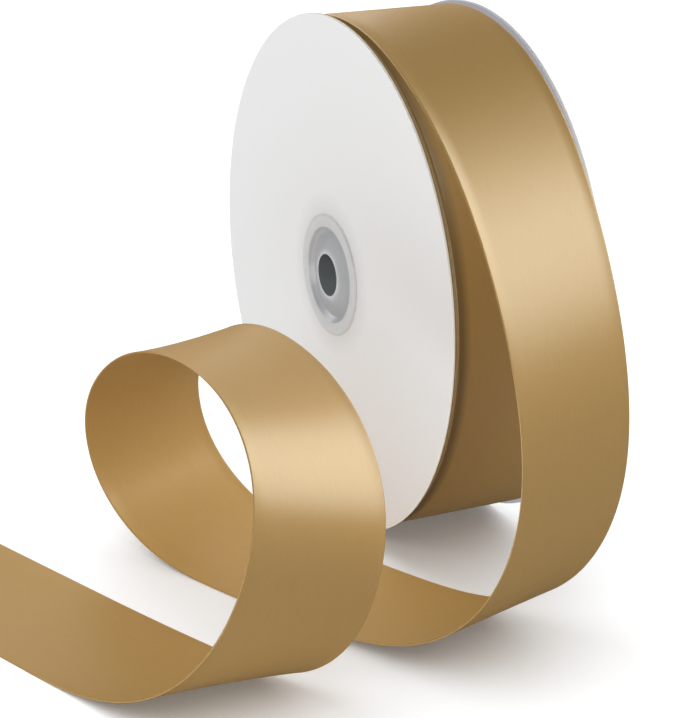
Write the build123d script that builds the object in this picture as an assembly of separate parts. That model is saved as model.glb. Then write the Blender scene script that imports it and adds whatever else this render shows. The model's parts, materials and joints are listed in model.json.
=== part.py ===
from build123d import *

import os
from math import cos, pi, radians, sin

# Ribbon spool: two card flanges on a card core tube, held by a two-part snap-in
# plastic hub, wound with satin ribbon whose outer end is drawn off over the floor.
# Millimetres. The origin is the spool's centre on its axis, +Y runs along the axis
# from the front flange to the rear one, +Z is up and the floor is one flange
# radius below the origin.

# ---- driving dimensions ----
flange_radius = 67.5
flange_thickness = 1.0
flange_gap = 40.0  # between the flanges' inner faces
flange_edge_round = 0.25

ribbon_width = 38.0
ribbon_thickness = 0.28
pack_radius = 66.0  # outside of the wound ribbon

core_radius = 16.0
tape_thickness = 0.1
tape_length_angle = 70.0  # degrees of the core that the start tape covers
tape_width = 30.0

bore_radius = 5.5
lip_radius = 16.0
lip_height = 0.5
lip_round = 0.35
dish_mouth_radius = 12.65
dish_mouth_round = 0.25
dish_floor_radius = 11.4
dish_depth = 1.4
web_thickness = 1.1
sleeve_radius = 14.0
sleeve_length = 12.0
bore_tube_wall = 0.8
bore_rim_rise = 0.3  # the bore's rim stands this far out of the lip's face
bore_rim_round = 0.2
socket_end = 4.0  # where the front half's snap socket ends, along +Y
plug_end = -12.0  # where the rear half's plug meets the front half's step
snap_bead_position = -8.0
snap_bead_height = 0.25
fit_gap = 0.1  # radial gap of the hub's sleeve in the card, and of plug in socket

free_clearance = 0.3  # between the wound ribbon and the free ribbon over it

# ---- the free ribbon's route ----
# A uniform cubic B-spline. Each control point is the middle of the ribbon's width
# and thickness (x, y, z) and the direction across the ribbon, as a turn about Z
# (yaw) and a lift of its rear edge (tilt), in degrees. The points are one route
# step apart along the ribbon. The first ones, on the wound ribbon, and the last
# ones, straight along the floor, are worked out from the dimensions above.
route_step = 28.0
takeoff_angle = 100.0  # degrees from +X, where the free ribbon starts
wound_points = 4
route_points = [
    (16.5, -1, 67.5, -3.5, -2.5),
    (43, -3, 60, -3, -5.5),
    (66.5, -5, 46.5, 3, -10.5),
    (86.5, -7, 27.5, 10, -12.5),
    (102, -8.5, 3.5, 16.5, -10.5),
    (109, -10.5, -24.5, 21.5, -8),
    (102, -17, -50, 22.5, -5.5),
    (81.5, -26.5, -64.5, 23, -2),
    (55, -37.5, -66.5, 22, 0),
    (27, -48.5, -67, 20.5, 1.5),
    (0, -58.5, -65.5, 21.5, 4.5),
    (-17, -67, -48.5, 21.5, 8.5),
    (-12, -70.5, -24, 15, 11.5),
    (11.5, -69, -6, 6.5, 6),
    (40.5, -67, 1.5, 4, -7),
    (70.5, -64.5, -1, 6, -18),
    (96.5, -66.5, -15.5, 8.5, -24),
    (107, -76.5, -40, 12, -25),
    (94.5, -87.5, -61, 17.5, -15),
    (68, -98, -67, 19, 1),
]
tail_points = 5
tail_heading = 19.0  # degrees of turn of the tail away from -X
tail_end = 23.8  # where the ribbon is cut, in route steps from the takeoff

# Free ribbon nodes, each with its end in route steps from the takeoff.
ribbon_spans = [
    ("ribbon_takeoff", 2),
    ("ribbon_drop", 6),
    ("ribbon_landing", 8),
    ("ribbon_floor_run", 10),
    ("ribbon_loop_rise", 13),
    ("ribbon_loop_top", 16),
    ("ribbon_loop_fall", 20),
    ("ribbon_tail", tail_end),
]
samples_per_step = 4

# ---- sizes that follow ----
inner_face = flange_gap / 2
outer_face = inner_face + flange_thickness
lip_face = outer_face + lip_height
sleeve_end = lip_face - sleeve_length
dish_floor = lip_face - dish_depth
bore_rim_face = lip_face + bore_rim_rise
bore_tube_radius = bore_radius + bore_tube_wall
socket_radius = bore_tube_radius + fit_gap
pack_bore_radius = core_radius + tape_thickness
card_hole_radius = sleeve_radius + fit_gap
floor_height = -flange_radius + ribbon_thickness / 2


def turned(outline):
    """Solid turned about the Y axis from an outline of (radius, y) points."""
    profile = make_face(Polyline(*outline, close=True))
    return revolve(profile, Axis.Y)


def ring(inner_radius, outer_radius, near_y, far_y):
    """Plain ring about the Y axis."""
    return turned(
        [(inner_radius, near_y), (outer_radius, near_y), (outer_radius, far_y), (inner_radius, far_y)]
    )


def circles(solid, radius, y):
    """Round edges of a turned solid, by radius and place along the axis."""
    return solid.edges().filter_by(GeomType.CIRCLE).filter_by(
        lambda edge: abs(edge.radius - radius) < 0.01 and abs(edge.arc_center.Y - y) < 0.01
    )


def flange():
    """Card disc, made as the rear one, with softened outer edges."""
    disc = ring(card_hole_radius, flange_radius, inner_face, outer_face)
    rims = circles(disc, flange_radius, inner_face) + circles(disc, flange_radius, outer_face)
    return fillet(rims, flange_edge_round)


def web_face(radius, depth=0.0):
    """Place along the axis of the dish's cone, which rises from its floor to the bore."""
    share = (dish_floor_radius - radius) / (dish_floor_radius - bore_tube_radius)
    return dish_floor + share * (bore_rim_face - dish_floor) - depth


def hub_half(tube):
    """One hub half, as the rear one: rim, tube outline, web, sleeve, lip and dish."""
    tube_outside = tube[-1][0]
    outline = [
        (bore_tube_radius, bore_rim_face),
        (bore_radius, bore_rim_face),
        *tube,
        (tube_outside, web_face(tube_outside, web_thickness)),
        (dish_floor_radius, web_face(dish_floor_radius, web_thickness)),
        (dish_mouth_radius, web_face(dish_floor_radius, web_thickness)),
        (dish_mouth_radius, sleeve_end),
        (sleeve_radius, sleeve_end),
        (sleeve_radius, outer_face),
        (lip_radius, outer_face),
        (lip_radius, lip_face),
        (dish_mouth_radius, lip_face),
        (dish_floor_radius, dish_floor),
    ]
    half = turned(outline)
    half = fillet(circles(half, lip_radius, lip_face), lip_round)
    half = fillet(circles(half, dish_mouth_radius, lip_face), dish_mouth_round)
    return fillet(circles(half, bore_tube_radius, bore_rim_face), bore_rim_round)


def rear_hub_half():
    """The half with the long plug tube that snaps into the front half."""
    return hub_half(
        [
            (bore_radius, plug_end),
            (bore_tube_radius, plug_end),
            (bore_tube_radius, snap_bead_position - snap_bead_height),
            (bore_tube_radius + snap_bead_height, snap_bead_position),
            (bore_tube_radius, snap_bead_position + snap_bead_height),
        ]
    )


def front_hub_half():
    """The half with the socket tube, made as a rear one and turned to face the front."""
    socket_outside = socket_radius + 2 * bore_tube_wall
    groove = -snap_bead_position
    half = hub_half(
        [
            (bore_radius, -plug_end),
            (socket_radius, -plug_end),
            (socket_radius, groove + snap_bead_height),
            (socket_radius + snap_bead_height, groove),
            (socket_radius, groove - snap_bead_height),
            (socket_radius, -socket_end),
            (socket_outside, -socket_end),
        ]
    )
    return half.mirror(Plane.XZ)


def start_tape():
    """Strip of tape round part of the core, over the ribbon's inner end."""
    band = ring(core_radius, pack_bore_radius, -tape_width / 2, tape_width / 2)
    reach = 2 * pack_bore_radius
    half_angle = radians(tape_length_angle / 2)
    wedge = make_face(
        Polyline(
            (0, 0),
            (reach, -reach * sin(half_angle) / cos(half_angle)),
            (reach, reach * sin(half_angle) / cos(half_angle)),
            close=True,
        )
    )
    block = extrude(Plane.XZ * wedge, tape_width, both=True)
    return band & block


def wound_control_points():
    """Control points that hold the route to a circle on the wound ribbon."""
    radius = pack_radius + free_clearance + ribbon_thickness / 2
    turn = route_step / radius
    reach = radius * 3 / (2 + cos(turn))
    angles = [radians(takeoff_angle) + turn * count for count in range(wound_points)]
    return [(reach * cos(angle), 0, reach * sin(angle), 0, 0) for angle in reversed(angles)]


def tail_control_points():
    """Control points that run straight along the floor from the last loop point."""
    start_x, start_y = route_points[-1][:2]
    ahead_x = -route_step * cos(radians(tail_heading))
    ahead_y = -route_step * sin(radians(tail_heading))
    return [
        (start_x + count * ahead_x, start_y + count * ahead_y, floor_height, tail_heading, 0)
        for count in range(1, tail_points + 1)
    ]


control_points = wound_control_points() + route_points + tail_control_points()


def route_at(steps):
    """Route values and their rates of change, in route steps from the takeoff."""
    place = steps + wound_points - 1
    first = min(int(place), len(control_points) - 3)
    t = place - first
    weights = (
        (1 - t) ** 3 / 6,
        (3 * t**3 - 6 * t**2 + 4) / 6,
        (-3 * t**3 + 3 * t**2 + 3 * t + 1) / 6,
        t**3 / 6,
    )
    slopes = (-((1 - t) ** 2) / 2, (3 * t**2 - 4 * t) / 2, (-3 * t**2 + 2 * t + 1) / 2, t**2 / 2)
    around = control_points[first - 1 : first + 3]
    value = [sum(weight * point[k] for weight, point in zip(weights, around)) for k in range(5)]
    slope = [sum(rate * point[k] for rate, point in zip(slopes, around)) for k in range(5)]
    return value, slope


def ribbon_corners(steps):
    """The ribbon's section at one place: near inner, near outer, far outer, far inner."""
    value, slope = route_at(steps)
    centre = Vector(*value[:3])
    ahead = Vector(*slope[:3])
    yaw, tilt = radians(value[3]), radians(value[4])
    across = Vector(-sin(yaw) * cos(tilt), cos(yaw) * cos(tilt), sin(tilt))
    outward = ahead.cross(across).normalized()
    half_width = across * (ribbon_width / 2)
    half_depth = outward * (ribbon_thickness / 2)
    return [
        centre - half_width - half_depth,
        centre - half_width + half_depth,
        centre + half_width + half_depth,
        centre + half_width - half_depth,
    ]


def ribbon_span(start, end):
    """One stretch of the free ribbon: four long edges, four ruled sides and two ends."""
    count = max(2, round((end - start) * samples_per_step))
    places = [start + (end - start) * index / count for index in range(count + 1)]
    sections = [ribbon_corners(place) for place in places]
    nudge = 0.001
    after_start = ribbon_corners(start + nudge)
    before_end = ribbon_corners(end - nudge)
    long_edges = []
    for corner in range(4):
        line = [section[corner] for section in sections]
        tangents = [after_start[corner] - line[0], line[-1] - before_end[corner]]
        long_edges.append(Edge.make_spline(line, tangents=tangents, parameters=places))
    sides = [
        Face.make_surface_from_curves(long_edges[corner], long_edges[(corner + 1) % 4])
        for corner in range(4)
    ]
    ends = [make_face(Polyline(*section, close=True)).face() for section in (sections[0], sections[-1])]
    solid = Solid(Shell(sides + ends))
    if solid.volume < 0:
        solid = Solid(solid.wrapped.Reversed())
    return solid


def ribbon_length(start, end, pieces=400):
    """Length along the middle of the ribbon between two places on the route."""
    total = 0.0
    last = Vector(*route_at(start)[0][:3])
    for index in range(1, pieces + 1):
        here = Vector(*route_at(start + (end - start) * index / pieces)[0][:3])
        total += (here - last).length
        last = here
    return total


def write_node(name, shape):
    export_step(shape, f"parts/{name}.step")


os.makedirs("parts", exist_ok=True)

rear_flange = flange()
write_node("rear_flange", rear_flange)
write_node("front_flange", rear_flange.mirror(Plane.XZ))
write_node("core_tube", ring(card_hole_radius, core_radius, -inner_face, inner_face))
write_node("rear_hub_half", rear_hub_half())
write_node("front_hub_half", front_hub_half())
write_node("start_tape", start_tape())
write_node("ribbon_pack", ring(pack_bore_radius, pack_radius, -ribbon_width / 2, ribbon_width / 2))

span_start = 0
for node, span_end in ribbon_spans:
    span = ribbon_span(span_start, span_end)
    length = ribbon_length(span_start, span_end)
    plain_volume = length * ribbon_width * ribbon_thickness
    print(node, "length", round(length, 1), "volume ratio", round(span.volume / plain_volume, 4))
    write_node(node, span)
    span_start = span_end

turns = (pack_radius - pack_bore_radius) / ribbon_thickness
wound_length = pi * (pack_radius**2 - pack_bore_radius**2) / ribbon_thickness
print("free length", round(ribbon_length(0, tail_end), 1))
print("turns", round(turns), "wound length in metres", round(wound_length / 1000, 1))
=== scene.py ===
import json
from math import cos, radians, sin, tau

import bpy
import numpy as np
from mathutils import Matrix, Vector

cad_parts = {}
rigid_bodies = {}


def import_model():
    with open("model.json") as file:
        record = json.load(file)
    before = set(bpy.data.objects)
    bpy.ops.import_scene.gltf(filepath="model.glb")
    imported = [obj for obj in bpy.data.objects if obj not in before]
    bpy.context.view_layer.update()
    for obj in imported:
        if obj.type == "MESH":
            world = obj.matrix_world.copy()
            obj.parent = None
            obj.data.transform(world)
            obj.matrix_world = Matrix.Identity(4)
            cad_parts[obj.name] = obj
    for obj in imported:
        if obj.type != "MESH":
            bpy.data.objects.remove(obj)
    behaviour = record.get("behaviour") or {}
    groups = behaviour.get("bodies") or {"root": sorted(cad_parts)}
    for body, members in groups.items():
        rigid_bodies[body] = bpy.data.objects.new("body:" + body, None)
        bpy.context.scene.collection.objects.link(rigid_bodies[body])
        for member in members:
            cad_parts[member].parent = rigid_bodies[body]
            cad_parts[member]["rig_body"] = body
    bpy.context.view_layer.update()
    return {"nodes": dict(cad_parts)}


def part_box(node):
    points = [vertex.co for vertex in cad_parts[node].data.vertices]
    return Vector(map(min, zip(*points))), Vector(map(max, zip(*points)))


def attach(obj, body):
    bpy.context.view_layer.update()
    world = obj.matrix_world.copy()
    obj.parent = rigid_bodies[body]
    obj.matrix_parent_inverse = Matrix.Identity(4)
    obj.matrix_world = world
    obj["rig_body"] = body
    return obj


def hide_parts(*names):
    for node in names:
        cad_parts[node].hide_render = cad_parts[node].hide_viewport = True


# A ribbon spool: satin ribbon wound between two card discs on a snap-in plastic hub,
# its outer end led off the top, round one free loop and out along the floor.
# Metres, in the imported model's frame: +Y along the axis, +Z up, floor under the discs.

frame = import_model()

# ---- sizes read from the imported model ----
FLANGE_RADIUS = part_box("front_flange")[1].x
PACK_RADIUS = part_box("ribbon_pack")[1].x
HALF_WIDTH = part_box("ribbon_pack")[1].y
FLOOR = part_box("front_flange")[0].z
BOARD_OUTSIDE, BOARD_INSIDE = (-corner.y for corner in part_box("front_flange"))
BOARD_MIDDLE = (BOARD_OUTSIDE + BOARD_INSIDE) / 2
MM = 0.001

# ---- the ribbon ----
THICKNESS = 0.28 * MM
FREE_CLEARANCE = 0.3 * MM  # between the wound ribbon and the free one over it
SELVEDGE_WIDTH = 0.7 * MM
SELVEDGE_THICKNESS = 0.36 * MM
RIBBON_SLICES = 1100
ROUTE_STEP = 28 * MM
TAKEOFF_ANGLE = radians(100)
TAIL_HEADING = 19.0
TAIL_POINTS = 5
TAIL_END = 23.8  # in route steps from the takeoff
WOUND_POINTS = 19
WRAP_START = -15.5  # the last full turn starts here, tucked under the takeoff
PAINTED_SHADE_MARGIN = (1.2 * MM, 3.5 * MM)  # painted shade across the wrap under the loose ribbon, from its front edge
PAINTED_SHADE_LENGTH = (200 * MM, 300 * MM)  # along the ribbon, where that wrap's painted shade fades out

# ---- the wound ribbon ----
TAPE_THICKNESS = 0.1 * MM  # between the core tube and the innermost layer
PACK_LAYERS = 60
PACK_SLICES = 256
LAYER_SHIFT = 0.35 * MM  # the most that a layer sits to one side
LAYER_EASE = 0.02 * MM  # radial room on each layer's edge for the step to the next one

# ---- the card discs ----
BOARD_BLEND = 0.05 * MM  # either side of the board's middle, where its two layers meet
RIM_BLEND = (0.27 * MM, 0.20 * MM)  # inside the disc's edge, clear of the rim's flat facets

# Control points of the free ribbon: middle of the ribbon (x, y, z), then its turn
# about Z and the lift of its rear edge, in degrees.
ROUTE = [
    (0.0165, -0.001, 0.0675, -3.5, -2.5),
    (0.043, -0.003, 0.060, -3, -5.5),
    (0.0665, -0.005, 0.0465, 3, -10.5),
    (0.0865, -0.007, 0.0275, 10, -12.5),
    (0.102, -0.0085, 0.0035, 16.5, -10.5),
    (0.109, -0.0105, -0.0245, 21.5, -8),
    (0.102, -0.017, -0.050, 22.5, -5.5),
    (0.0815, -0.0265, -0.0645, 23, -2),
    (0.055, -0.0375, -0.0665, 22, 0),
    (0.027, -0.0485, -0.067, 20.5, 1.5),
    (0, -0.0585, -0.0655, 21.5, 4.5),
    (-0.017, -0.067, -0.0485, 21.5, 8.5),
    (-0.012, -0.0705, -0.024, 15, 11.5),
    (0.0115, -0.069, -0.006, 6.5, 6),
    (0.0405, -0.067, 0.0015, 4, -7),
    (0.0705, -0.0645, -0.001, 6, -18),
    (0.0965, -0.0665, -0.0155, 8.5, -24),
    (0.107, -0.0765, -0.040, 12, -25),
    (0.0945, -0.0875, -0.061, 17.5, -15),
    (0.068, -0.098, -0.067, 19, 1),
]


def wound_points():
    """Control points of the last full turn, a slow spiral on the wound ribbon."""
    outside = PACK_RADIUS + FREE_CLEARANCE + THICKNESS / 2
    turn = ROUTE_STEP / outside
    points = []
    for count in reversed(range(WOUND_POINTS)):
        # Three points back from the takeoff it starts to sink, and lies on the wound ribbon
        # after four fifths of a turn.
        sunk = FREE_CLEARANCE * min(1, max(0, count - 3) * turn / (tau * 0.8))
        # The spline runs this much inside control points that lie on a circle.
        reach = (outside - sunk) * 3 / (2 + cos(turn))
        angle = TAKEOFF_ANGLE + turn * count
        points.append((reach * cos(angle), 0, reach * sin(angle), 0, 0))
    return points


def tail_points():
    """Control points that run straight along the floor."""
    start_x, start_y = ROUTE[-1][:2]
    ahead_x = -ROUTE_STEP * cos(radians(TAIL_HEADING))
    ahead_y = -ROUTE_STEP * sin(radians(TAIL_HEADING))
    height = FLOOR + THICKNESS / 2
    return [
        (start_x + count * ahead_x, start_y + count * ahead_y, height, TAIL_HEADING, 0)
        for count in range(1, TAIL_POINTS + 1)
    ]


CONTROL = np.array(wound_points() + ROUTE + tail_points())


def route_at(steps):
    """Middle line, direction across and outward normal, at places on the route."""
    place = np.asarray(steps) + WOUND_POINTS - 1
    first = np.clip(np.floor(place).astype(int), 1, len(CONTROL) - 3)
    t = (place - first)[:, None]
    before, here, after, beyond = (CONTROL[first + shift] for shift in (-1, 0, 1, 2))
    value = (
        (1 - t) ** 3 * before
        + (3 * t**3 - 6 * t**2 + 4) * here
        + (-3 * t**3 + 3 * t**2 + 3 * t + 1) * after
        + t**3 * beyond
    ) / 6
    slope = (
        -((1 - t) ** 2) * before
        + (3 * t**2 - 4 * t) * here
        + (-3 * t**2 + 2 * t + 1) * after
        + t**2 * beyond
    ) / 2
    yaw, tilt = np.radians(value[:, 3]), np.radians(value[:, 4])
    across = np.stack([-np.sin(yaw) * np.cos(tilt), np.cos(yaw) * np.cos(tilt), np.sin(tilt)], 1)
    outward = np.cross(slope[:, :3], across)
    outward /= np.linalg.norm(outward, axis=1)[:, None]
    return value[:, :3], across, outward


# ---- mesh helpers ----
def new_piece(name, vertices, faces, uvs=None):
    """A smooth-shaded mesh object; uvs holds one (u, v) for each face corner."""
    mesh = bpy.data.meshes.new(name)
    mesh.from_pydata([tuple(v) for v in vertices], [], faces)
    if uvs is not None:
        layer = mesh.uv_layers.new(name="cloth")
        layer.data.foreach_set("uv", np.asarray(uvs, dtype=np.float32).ravel())
    mesh.polygons.foreach_set("use_smooth", [True] * len(mesh.polygons))
    mesh.update()
    piece = bpy.data.objects.new(name, mesh)
    bpy.context.scene.collection.objects.link(piece)
    return piece


def loft(rings, along, around, closed=False):
    """Faces and uvs for rings of vertices; along and around are in metres."""
    count, size = len(rings), len(rings[0])
    faces, uvs = [], []
    for i in range(count if closed else count - 1):
        j = (i + 1) % count
        for k in range(size):
            m = (k + 1) % size
            faces.append((i * size + k, i * size + m, j * size + m, j * size + k))
            far = around[k + 1]
            uvs += [
                (around[k], along[i]),
                (far, along[i]),
                (far, along[i + 1]),
                (around[k], along[i + 1]),
            ]
    return faces, uvs


def ribbon_section():
    """Half-thickness of the ribbon across its width: flat, with a fuller woven edge."""
    inner = HALF_WIDTH - SELVEDGE_WIDTH
    flat = np.linspace(-inner, inner, 13)
    half, edge = THICKNESS / 2, SELVEDGE_THICKNESS / 2
    rounding = [(0.25, 1.0), (0.7, 1.0), (0.93, 0.7), (1.0, 0.0)]
    rear = [(inner + share * SELVEDGE_WIDTH, edge * height) for share, height in rounding]
    outer = [(-a, h) for a, h in reversed(rear)] + [(a, half) for a in flat] + rear
    lower = [(a, -h) for a, h in reversed(outer[1:-1])]
    return np.array(outer + lower)


def satin_ribbon(face_look, back_look):
    """The last turn on the spool, the free loop and the tail, as one strip of satin."""
    steps = np.linspace(WRAP_START, TAIL_END, RIBBON_SLICES)
    middle, across, outward = route_at(steps)
    section = ribbon_section()
    rings = (
        middle[:, None]
        + across[:, None] * section[None, :, :1]
        + outward[:, None] * section[None, :, 1:]
    )
    length = np.concatenate([[0], np.cumsum(np.linalg.norm(np.diff(middle, axis=0), axis=1))])
    around = np.append(section[:, 0], section[0, 0]) + HALF_WIDTH
    faces, uvs = loft(rings, length, around)
    size = len(section)
    last = (RIBBON_SLICES - 1) * size
    for cap in (list(range(size))[::-1], [last + k for k in range(size)]):
        faces.append(tuple(cap))
        uvs += [(section[k % size, 0] + HALF_WIDTH, 0) for k in cap]
    piece = new_piece("satin_ribbon", rings.reshape(-1, 3), faces, uvs)
    dress(piece, face_look, back_look)
    # Each slice of faces runs over the outer side first, then back along the inner one.
    for index, side in enumerate(piece.data.polygons):
        side.material_index = int(index % size >= size // 2 and index < last)
    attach(piece, "free_ribbon")
    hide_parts(*[n for n, o in frame["nodes"].items() if o["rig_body"] == "free_ribbon"])
    return piece


def wound_ribbon():
    """The wound ribbon: many turns whose edges don't quite line up."""
    rng = np.random.default_rng(7)
    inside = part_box("core_tube")[1].x + TAPE_THICKNESS
    radii = np.linspace(inside, PACK_RADIUS, PACK_LAYERS + 1)
    sideways = rng.uniform(-LAYER_SHIFT, LAYER_SHIFT, PACK_LAYERS)
    front = sideways - HALF_WIDTH
    rear = sideways + HALF_WIDTH
    profile = [(radii[0], front[0])]
    for k in range(PACK_LAYERS):
        profile += [(radii[k] + LAYER_EASE, front[k]), (radii[k + 1] - LAYER_EASE, front[k])]
    for k in reversed(range(PACK_LAYERS)):
        profile += [(radii[k + 1] - LAYER_EASE, rear[k]), (radii[k] + LAYER_EASE, rear[k])]
    profile = np.array(profile)
    angles = np.linspace(0, tau, PACK_SLICES, endpoint=False)
    rings = np.stack(
        [
            np.outer(np.cos(angles), profile[:, 0]),
            np.tile(profile[:, 1], (PACK_SLICES, 1)),
            np.outer(np.sin(angles), profile[:, 0]),
        ],
        2,
    )
    along = np.append(np.minimum(angles, tau - angles), 0) * PACK_RADIUS
    around = np.append(profile[:, 1], profile[0, 1]) + HALF_WIDTH
    faces, uvs = loft(rings, along, around, closed=True)
    piece = new_piece("wound_ribbon", rings.reshape(-1, 3), faces, uvs)
    piece.data.polygons.foreach_set("use_smooth", [False] * len(piece.data.polygons))
    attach(piece, "spool")
    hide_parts("ribbon_pack")
    return piece


# ---- materials ----
def material(name, **settings):
    """A Principled material; settings are its own sockets' values."""
    made = bpy.data.materials.new(name)
    made.use_nodes = True
    shader = made.node_tree.nodes["Principled BSDF"]
    for socket, value in settings.items():
        shader.inputs[socket.replace("_", " ")].default_value = value
    return made, made.node_tree, shader


def node(tree, kind, **values):
    """A shader node with its sockets or properties set by name."""
    made = tree.nodes.new(kind)
    for key, value in values.items():
        label = key.replace("_", " ")
        if label in made.inputs:
            made.inputs[label].default_value = value
        else:
            setattr(made, key, value)
    return made


def blend_range(tree, value, low, high, at_low=0.0, at_high=1.0):
    """A number that goes from at_low to at_high as the value goes from low to high."""
    blend = node(tree, "ShaderNodeMapRange")
    blend.inputs["From Min"].default_value = low
    blend.inputs["From Max"].default_value = high
    blend.inputs["To Min"].default_value = at_low
    blend.inputs["To Max"].default_value = at_high
    tree.links.new(value, blend.inputs["Value"])
    return blend.outputs["Result"]


def satin_material(name, gloss, brightness):
    """Gold satin; the wrap under the loose ribbon carries painted shade, most of all at its
    front edge.
    """
    made, tree, shader = material(
        name,
        Metallic=0.32 * gloss,
        Roughness=0.6,
        Specular_IOR_Level=0.2,
        Specular_Tint=(0.75, 0.60, 0.40, 1),
        Coat_Weight=0.24 * gloss,
        Coat_IOR=2.5,
        Coat_Roughness=0.33,
    )
    link = tree.links.new
    cloth = node(tree, "ShaderNodeUVMap", uv_map="cloth")
    stretch = node(tree, "ShaderNodeMapping")
    stretch.inputs["Scale"].default_value = (1 / (0.30 * MM), 1 / (6 * MM), 1)
    link(cloth.outputs["UV"], stretch.inputs["Vector"])
    threads = node(tree, "ShaderNodeTexNoise", Scale=1.0, Detail=3.0, Roughness=0.6)
    link(stretch.outputs["Vector"], threads.inputs["Vector"])
    colour = node(tree, "ShaderNodeValToRGB")
    colour.color_ramp.elements[0].position = 0.3
    colour.color_ramp.elements[0].color = (0.420, 0.255, 0.085, 1)
    colour.color_ramp.elements[1].position = 0.7
    colour.color_ramp.elements[1].color = (0.452, 0.274, 0.091, 1)
    link(threads.outputs["Fac"], colour.inputs["Fac"])
    place = node(tree, "ShaderNodeSeparateXYZ")
    link(cloth.outputs["UV"], place.inputs[0])
    # Painted shade: the wrap under the loose ribbon, beside the front flange, is darkened, most
    # of all at its front edge.
    wrap = blend_range(tree, place.outputs["X"], *PAINTED_SHADE_MARGIN, 0.42, 0.84)
    shaded_brightness = node(tree, "ShaderNodeMix", data_type="FLOAT")
    shaded_brightness.inputs["B"].default_value = brightness
    link(blend_range(tree, place.outputs["Y"], *PAINTED_SHADE_LENGTH), shaded_brightness.inputs["Factor"])
    link(wrap, shaded_brightness.inputs["A"])
    tone = node(tree, "ShaderNodeVectorMath", operation="SCALE")
    link(colour.outputs["Color"], tone.inputs[0])
    link(shaded_brightness.outputs["Result"], tone.inputs["Scale"])
    link(tone.outputs["Vector"], shader.inputs["Base Color"])
    bump = node(tree, "ShaderNodeBump", Strength=0.05, Distance=0.02 * MM)
    link(threads.outputs["Fac"], bump.inputs["Height"])
    link(bump.outputs["Normal"], shader.inputs["Normal"])
    return made


def radius_from_axis(tree):
    """The distance from the spool's axis, as a socket."""
    place = node(tree, "ShaderNodeTexCoord")
    flatten = node(tree, "ShaderNodeVectorMath", operation="MULTIPLY")
    flatten.inputs[1].default_value = (1, 0, 1)
    tree.links.new(place.outputs["Object"], flatten.inputs[0])
    radius = node(tree, "ShaderNodeVectorMath", operation="LENGTH")
    tree.links.new(flatten.outputs["Vector"], radius.inputs[0])
    return radius.outputs["Value"]


def rings_of_colour(tree, radius, furthest, rings):
    """Colour by radius: rings holds (radius in metres, colour), blended between."""
    ramp = node(tree, "ShaderNodeValToRGB")
    stops = ramp.color_ramp.elements
    stops[0].position = rings[0][0] / furthest
    stops[1].position = rings[-1][0] / furthest
    for reach, _ in rings[1:-1]:
        stops.new(reach / furthest)
    for stop, (_, colour) in zip(stops, rings):
        stop.color = (*colour, 1)
    tree.links.new(blend_range(tree, radius, 0, furthest), ramp.inputs["Fac"])
    return ramp.outputs["Color"]


def card_material(name, brightness, inside, rim_inner_colour):
    """Lined board, with painted shade a little near the hub. brightness is its outer face's; the
    other two colours are those of its inner side and of the inner half of its cut rim."""
    made, tree, shader = material(name, Roughness=0.7, Specular_IOR_Level=0.2)
    link = tree.links.new
    place = node(tree, "ShaderNodeTexCoord")
    radius = radius_from_axis(tree)
    # Painted shade on the face, darkest next to the hub's lip.
    face = rings_of_colour(
        tree,
        radius,
        FLANGE_RADIUS,
        [
            (15.8 * MM, [0.87 * brightness] * 3),
            (17.5 * MM, [0.92 * brightness] * 3),
            (22.0 * MM, [brightness] * 3),
        ],
    )
    split = node(tree, "ShaderNodeSeparateXYZ")
    link(place.outputs["Object"], split.inputs[0])
    side = node(tree, "ShaderNodeMath", operation="ABSOLUTE")
    link(split.outputs["Y"], side.inputs[0])
    outer = blend_range(
        tree, side.outputs["Value"], BOARD_MIDDLE - BOARD_BLEND, BOARD_MIDDLE + BOARD_BLEND
    )
    flat = node(tree, "ShaderNodeMix", data_type="RGBA")
    flat.inputs["A"].default_value = (*inside, 1)
    link(outer, flat.inputs["Factor"])
    link(face, flat.inputs["B"])
    # The cut rim is cream on its outer half and takes the given colour on its inner half.
    cut = node(tree, "ShaderNodeMix", data_type="RGBA")
    cut.inputs["A"].default_value = (*rim_inner_colour, 1)
    cut.inputs["B"].default_value = (0.84, 0.81, 0.74, 1)
    link(outer, cut.inputs["Factor"])
    rim = blend_range(tree, radius, *(FLANGE_RADIUS - depth for depth in RIM_BLEND))
    mix = node(tree, "ShaderNodeMix", data_type="RGBA")
    link(rim, mix.inputs["Factor"])
    link(flat.outputs["Result"], mix.inputs["A"])
    link(cut.outputs["Result"], mix.inputs["B"])
    fibre = node(tree, "ShaderNodeTexNoise", Scale=900.0, Detail=4.0, Roughness=0.65)
    link(place.outputs["Object"], fibre.inputs["Vector"])
    shade = blend_range(tree, fibre.outputs["Fac"], 0, 1, 0.95, 1)
    mottle = node(tree, "ShaderNodeVectorMath", operation="SCALE")
    link(mix.outputs["Result"], mottle.inputs[0])
    link(shade, mottle.inputs["Scale"])
    link(mottle.outputs["Vector"], shader.inputs["Base Color"])
    bump = node(tree, "ShaderNodeBump", Strength=0.1, Distance=0.05 * MM)
    link(fibre.outputs["Fac"], bump.inputs["Height"])
    link(bump.outputs["Normal"], shader.inputs["Normal"])
    return made


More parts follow.
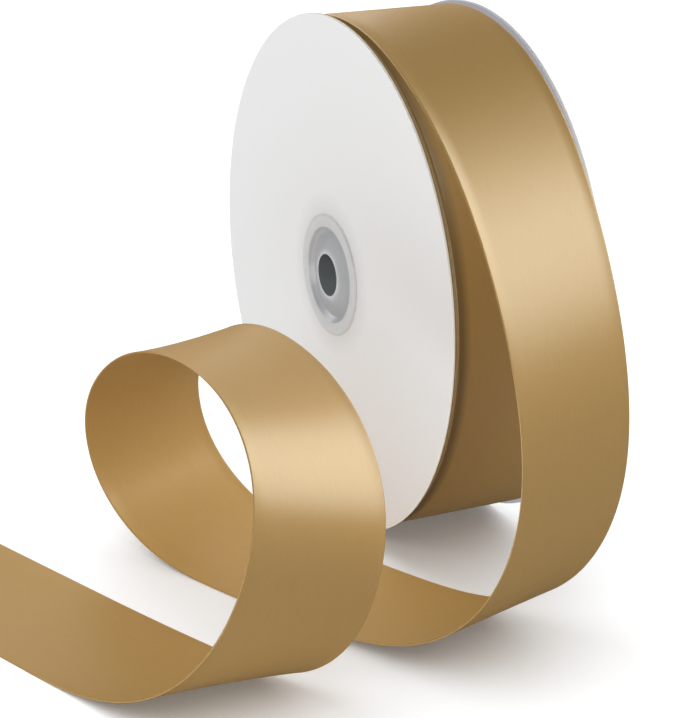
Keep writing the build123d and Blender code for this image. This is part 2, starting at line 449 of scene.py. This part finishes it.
def hub_material():
    """Milky moulded plastic, toned by radius with painted light and shade: a dark bore, a grey
    dish, a lighter band on the dish wall and a pale lip.
    """
    made, tree, shader = material("milky_plastic", Roughness=0.3, Specular_IOR_Level=0.4)
    link = tree.links.new
    place = node(tree, "ShaderNodeTexCoord")
    # Painted shade darkens the bore and the dish, and a painted highlight lightens a band on the
    # dish wall; the pale lip and the ring round the bore are the plastic's own tone, and the lip
    # darkens towards its outer edge.
    tones_and_painted_shade = rings_of_colour(
        tree,
        radius_from_axis(tree),
        16 * MM,
        [
            (5.52 * MM, (0.13, 0.14, 0.148)),
            (5.60 * MM, (0.60, 0.62, 0.64)),
            (6.2 * MM, (0.54, 0.56, 0.585)),
            (7.2 * MM, (0.42, 0.435, 0.455)),
            (11.2 * MM, (0.38, 0.39, 0.405)),
            (11.6 * MM, (0.46, 0.465, 0.48)),
            (12.4 * MM, (0.40, 0.405, 0.42)),
            (12.8 * MM, (0.60, 0.61, 0.615)),
            (15.2 * MM, (0.64, 0.645, 0.645)),
            (15.9 * MM, (0.56, 0.56, 0.565)),
        ],
    )
    grain = node(tree, "ShaderNodeTexNoise", Scale=350.0, Detail=2.0)
    link(place.outputs["Object"], grain.inputs["Vector"])
    cloud = node(tree, "ShaderNodeMix", data_type="RGBA", blend_type="MULTIPLY")
    cloud.inputs["Factor"].default_value = 0.1
    link(tones_and_painted_shade, cloud.inputs["A"])
    link(grain.outputs["Fac"], cloud.inputs["B"])
    link(cloud.outputs["Result"], shader.inputs["Base Color"])
    bump = node(tree, "ShaderNodeBump", Strength=0.15, Distance=0.05 * MM)
    link(grain.outputs["Fac"], bump.inputs["Height"])
    link(bump.outputs["Normal"], shader.inputs["Normal"])
    return made


def core_material():
    """Grey-brown wound board."""
    made, tree, shader = material("core_board", Roughness=0.85)
    link = tree.links.new
    place = node(tree, "ShaderNodeTexCoord")
    grain = node(tree, "ShaderNodeTexNoise", Scale=500.0, Detail=5.0)
    link(place.outputs["Object"], grain.inputs["Vector"])
    colour = node(tree, "ShaderNodeValToRGB")
    colour.color_ramp.elements[0].color = (0.36, 0.29, 0.21, 1)
    colour.color_ramp.elements[1].color = (0.52, 0.44, 0.33, 1)
    link(grain.outputs["Fac"], colour.inputs["Fac"])
    link(colour.outputs["Color"], shader.inputs["Base Color"])
    return made


def tape_material():
    """Clear tape, slightly clouded."""
    made, tree, shader = material("clear_tape", Roughness=0.2, Alpha=0.45)
    link = tree.links.new
    place = node(tree, "ShaderNodeTexCoord")
    cloud = node(tree, "ShaderNodeTexNoise", Scale=250.0, Detail=3.0)
    link(place.outputs["Object"], cloud.inputs["Vector"])
    colour = node(tree, "ShaderNodeValToRGB")
    colour.color_ramp.elements[0].color = (0.70, 0.69, 0.62, 1)
    colour.color_ramp.elements[1].color = (0.82, 0.81, 0.76, 1)
    link(cloud.outputs["Fac"], colour.inputs["Fac"])
    link(colour.outputs["Color"], shader.inputs["Base Color"])
    return made


def dress(piece, *looks):
    """Give the piece these materials in place of its own."""
    piece.data.materials.clear()
    for look in looks:
        piece.data.materials.append(look)


# ---- studio ----
CAMERA_AIM = Vector((0.0006, -0.0186, -0.0235))
CAMERA_AZIMUTH = radians(64.48)
CAMERA_ELEVATION = radians(19.96)
CAMERA_DISTANCE = 0.5916
CAMERA_LENS = 112.5
FLOOR_REACH = 1.6
SURROUND_STRENGTH = 0.08
STUDIO_MIDDLE = Vector((0.03, -0.05, -0.03))
KEY_COLOUR = (0.96, 1.0, 0.92)
LOW_SHIFT = Vector((-0.03, -0.07, -0.035))  # brings the low softbox's aim onto the tail

# Softboxes: name, azimuth and elevation in degrees, distance, width and height in metres,
# power in watts, and whether it casts a shadow.
FLOOR_WASH = ("wash", 300, 84, 1.3, 5.0, 5.0, 118, True)
OBJECT_LIGHTS = [
    ("key", 180, 31, 1.2, 1.0, 0.55, 12.6, False),
    ("left", 300, 38, 1.2, 0.6, 0.6, 2.4, False),
    ("front", 30, 5, 0.6, 0.4, 0.4, 2.5, False),
    ("right", 120, 24, 1.2, 0.6, 0.6, 2, True),
    ("low", 252, 42, 0.35, 0.3, 0.2, 0.5, True),
]


def towards(azimuth, elevation):
    """Unit vector from the object out towards an azimuth and elevation."""
    return Vector(
        (sin(azimuth) * cos(elevation), -cos(azimuth) * cos(elevation), sin(elevation))
    )


def add_camera():
    """A long lens, a little above the spool and well round to the right of its front."""
    data = bpy.data.cameras.new("camera")
    data.lens = CAMERA_LENS
    data.sensor_width = 36
    data.clip_start = 0.01
    camera = bpy.data.objects.new("camera", data)
    bpy.context.scene.collection.objects.link(camera)
    back = towards(CAMERA_AZIMUTH, CAMERA_ELEVATION)
    camera.location = CAMERA_AIM + back * CAMERA_DISTANCE
    camera.rotation_euler = back.to_track_quat("Z", "Y").to_euler()
    bpy.context.scene.camera = camera


def add_softbox(receivers, name, azimuth, elevation, distance, width, height, power, shadow):
    """A softbox facing the studio's middle; receivers says what it lights or leaves out."""
    data = bpy.data.lights.new(name, "AREA")
    data.shape = "RECTANGLE"
    data.size = width
    data.size_y = height
    data.energy = power
    data.use_shadow = shadow
    data.cycles.use_multiple_importance_sampling = shadow
    light = bpy.data.objects.new(name, data)
    bpy.context.scene.collection.objects.link(light)
    direction = towards(radians(azimuth), radians(elevation))
    light.location = STUDIO_MIDDLE + direction * distance
    light.rotation_euler = direction.to_track_quat("Z", "Y").to_euler()
    light.light_linking.receiver_collection = receivers
    light.visible_camera = False
    return light


def add_floor():
    """A pale square that glows a little and shows in no reflection."""
    reach = FLOOR_REACH
    corners = [
        (-reach, -reach, FLOOR),
        (reach, -reach, FLOOR),
        (reach, reach, FLOOR),
        (-reach, reach, FLOOR),
    ]
    floor = new_piece("floor", corners, [(0, 1, 2, 3)])
    look, _, _ = material(
        "white_floor",
        Roughness=0.9,
        Base_Color=(0.93, 0.95, 0.97, 1),
        Emission_Color=(0.94, 0.97, 1, 1),
        Emission_Strength=0.12,
    )
    dress(floor, look)
    floor.visible_glossy = False
    return floor


def add_lights(floor):
    """A wash for the floor alone, and softboxes for everything else."""
    just_floor = bpy.data.collections.new("just_floor")
    just_floor.objects.link(floor)
    all_but_floor = bpy.data.collections.new("all_but_floor")
    all_but_floor.objects.link(floor)
    all_but_floor.collection_objects[0].light_linking.link_state = "EXCLUDE"
    add_softbox(just_floor, *FLOOR_WASH)
    lights = {row[0]: add_softbox(all_but_floor, *row) for row in OBJECT_LIGHTS}
    lights["key"].data.color = KEY_COLOUR
    lights["low"].location += LOW_SHIFT


def add_world():
    """A dim white surround that looks plain white to the camera."""
    world = bpy.data.worlds.new("studio")
    world.use_nodes = True
    tree = world.node_tree
    dim = tree.nodes["Background"]
    dim.inputs["Color"].default_value = (1, 1, 1, 1)
    dim.inputs["Strength"].default_value = SURROUND_STRENGTH
    plain = node(tree, "ShaderNodeBackground", Color=(1, 1, 1, 1), Strength=1.0)
    ray = node(tree, "ShaderNodeLightPath")
    choice = node(tree, "ShaderNodeMixShader")
    tree.links.new(ray.outputs["Is Camera Ray"], choice.inputs["Fac"])
    tree.links.new(dim.outputs["Background"], choice.inputs[1])
    tree.links.new(plain.outputs["Background"], choice.inputs[2])
    tree.links.new(choice.outputs["Shader"], tree.nodes["World Output"].inputs["Surface"])
    bpy.context.scene.world = world


# ---- build ----
add_camera()
add_world()
add_lights(add_floor())
bpy.context.scene.view_settings.view_transform = "Standard"

satin_face = satin_material("satin_face", gloss=1.0, brightness=1.0)
satin_back = satin_material("satin_back", gloss=0.3, brightness=0.98)
satin_ribbon(satin_face, satin_back)
# The wound ribbon lies within the satin's painted shade along its whole length, darkest at its
# front edges.
dress(wound_ribbon(), satin_face)
white_card = card_material("white_card", 0.725, (0.72, 0.72, 0.71), (0.20, 0.145, 0.085))
# The rear flange is board of the same make as the front one; its darker, grey-blue colours are
# painted shade.
painted_shade_card = card_material("painted_shade_card", 0.50, (0.45, 0.48, 0.59), (0.62, 0.65, 0.72))
dress(frame["nodes"]["front_flange"], white_card)
dress(frame["nodes"]["rear_flange"], painted_shade_card)
plastic = hub_material()
dress(frame["nodes"]["front_hub_half"], plastic)
dress(frame["nodes"]["rear_hub_half"], plastic)
dress(frame["nodes"]["core_tube"], core_material())
dress(frame["nodes"]["start_tape"], tape_material())
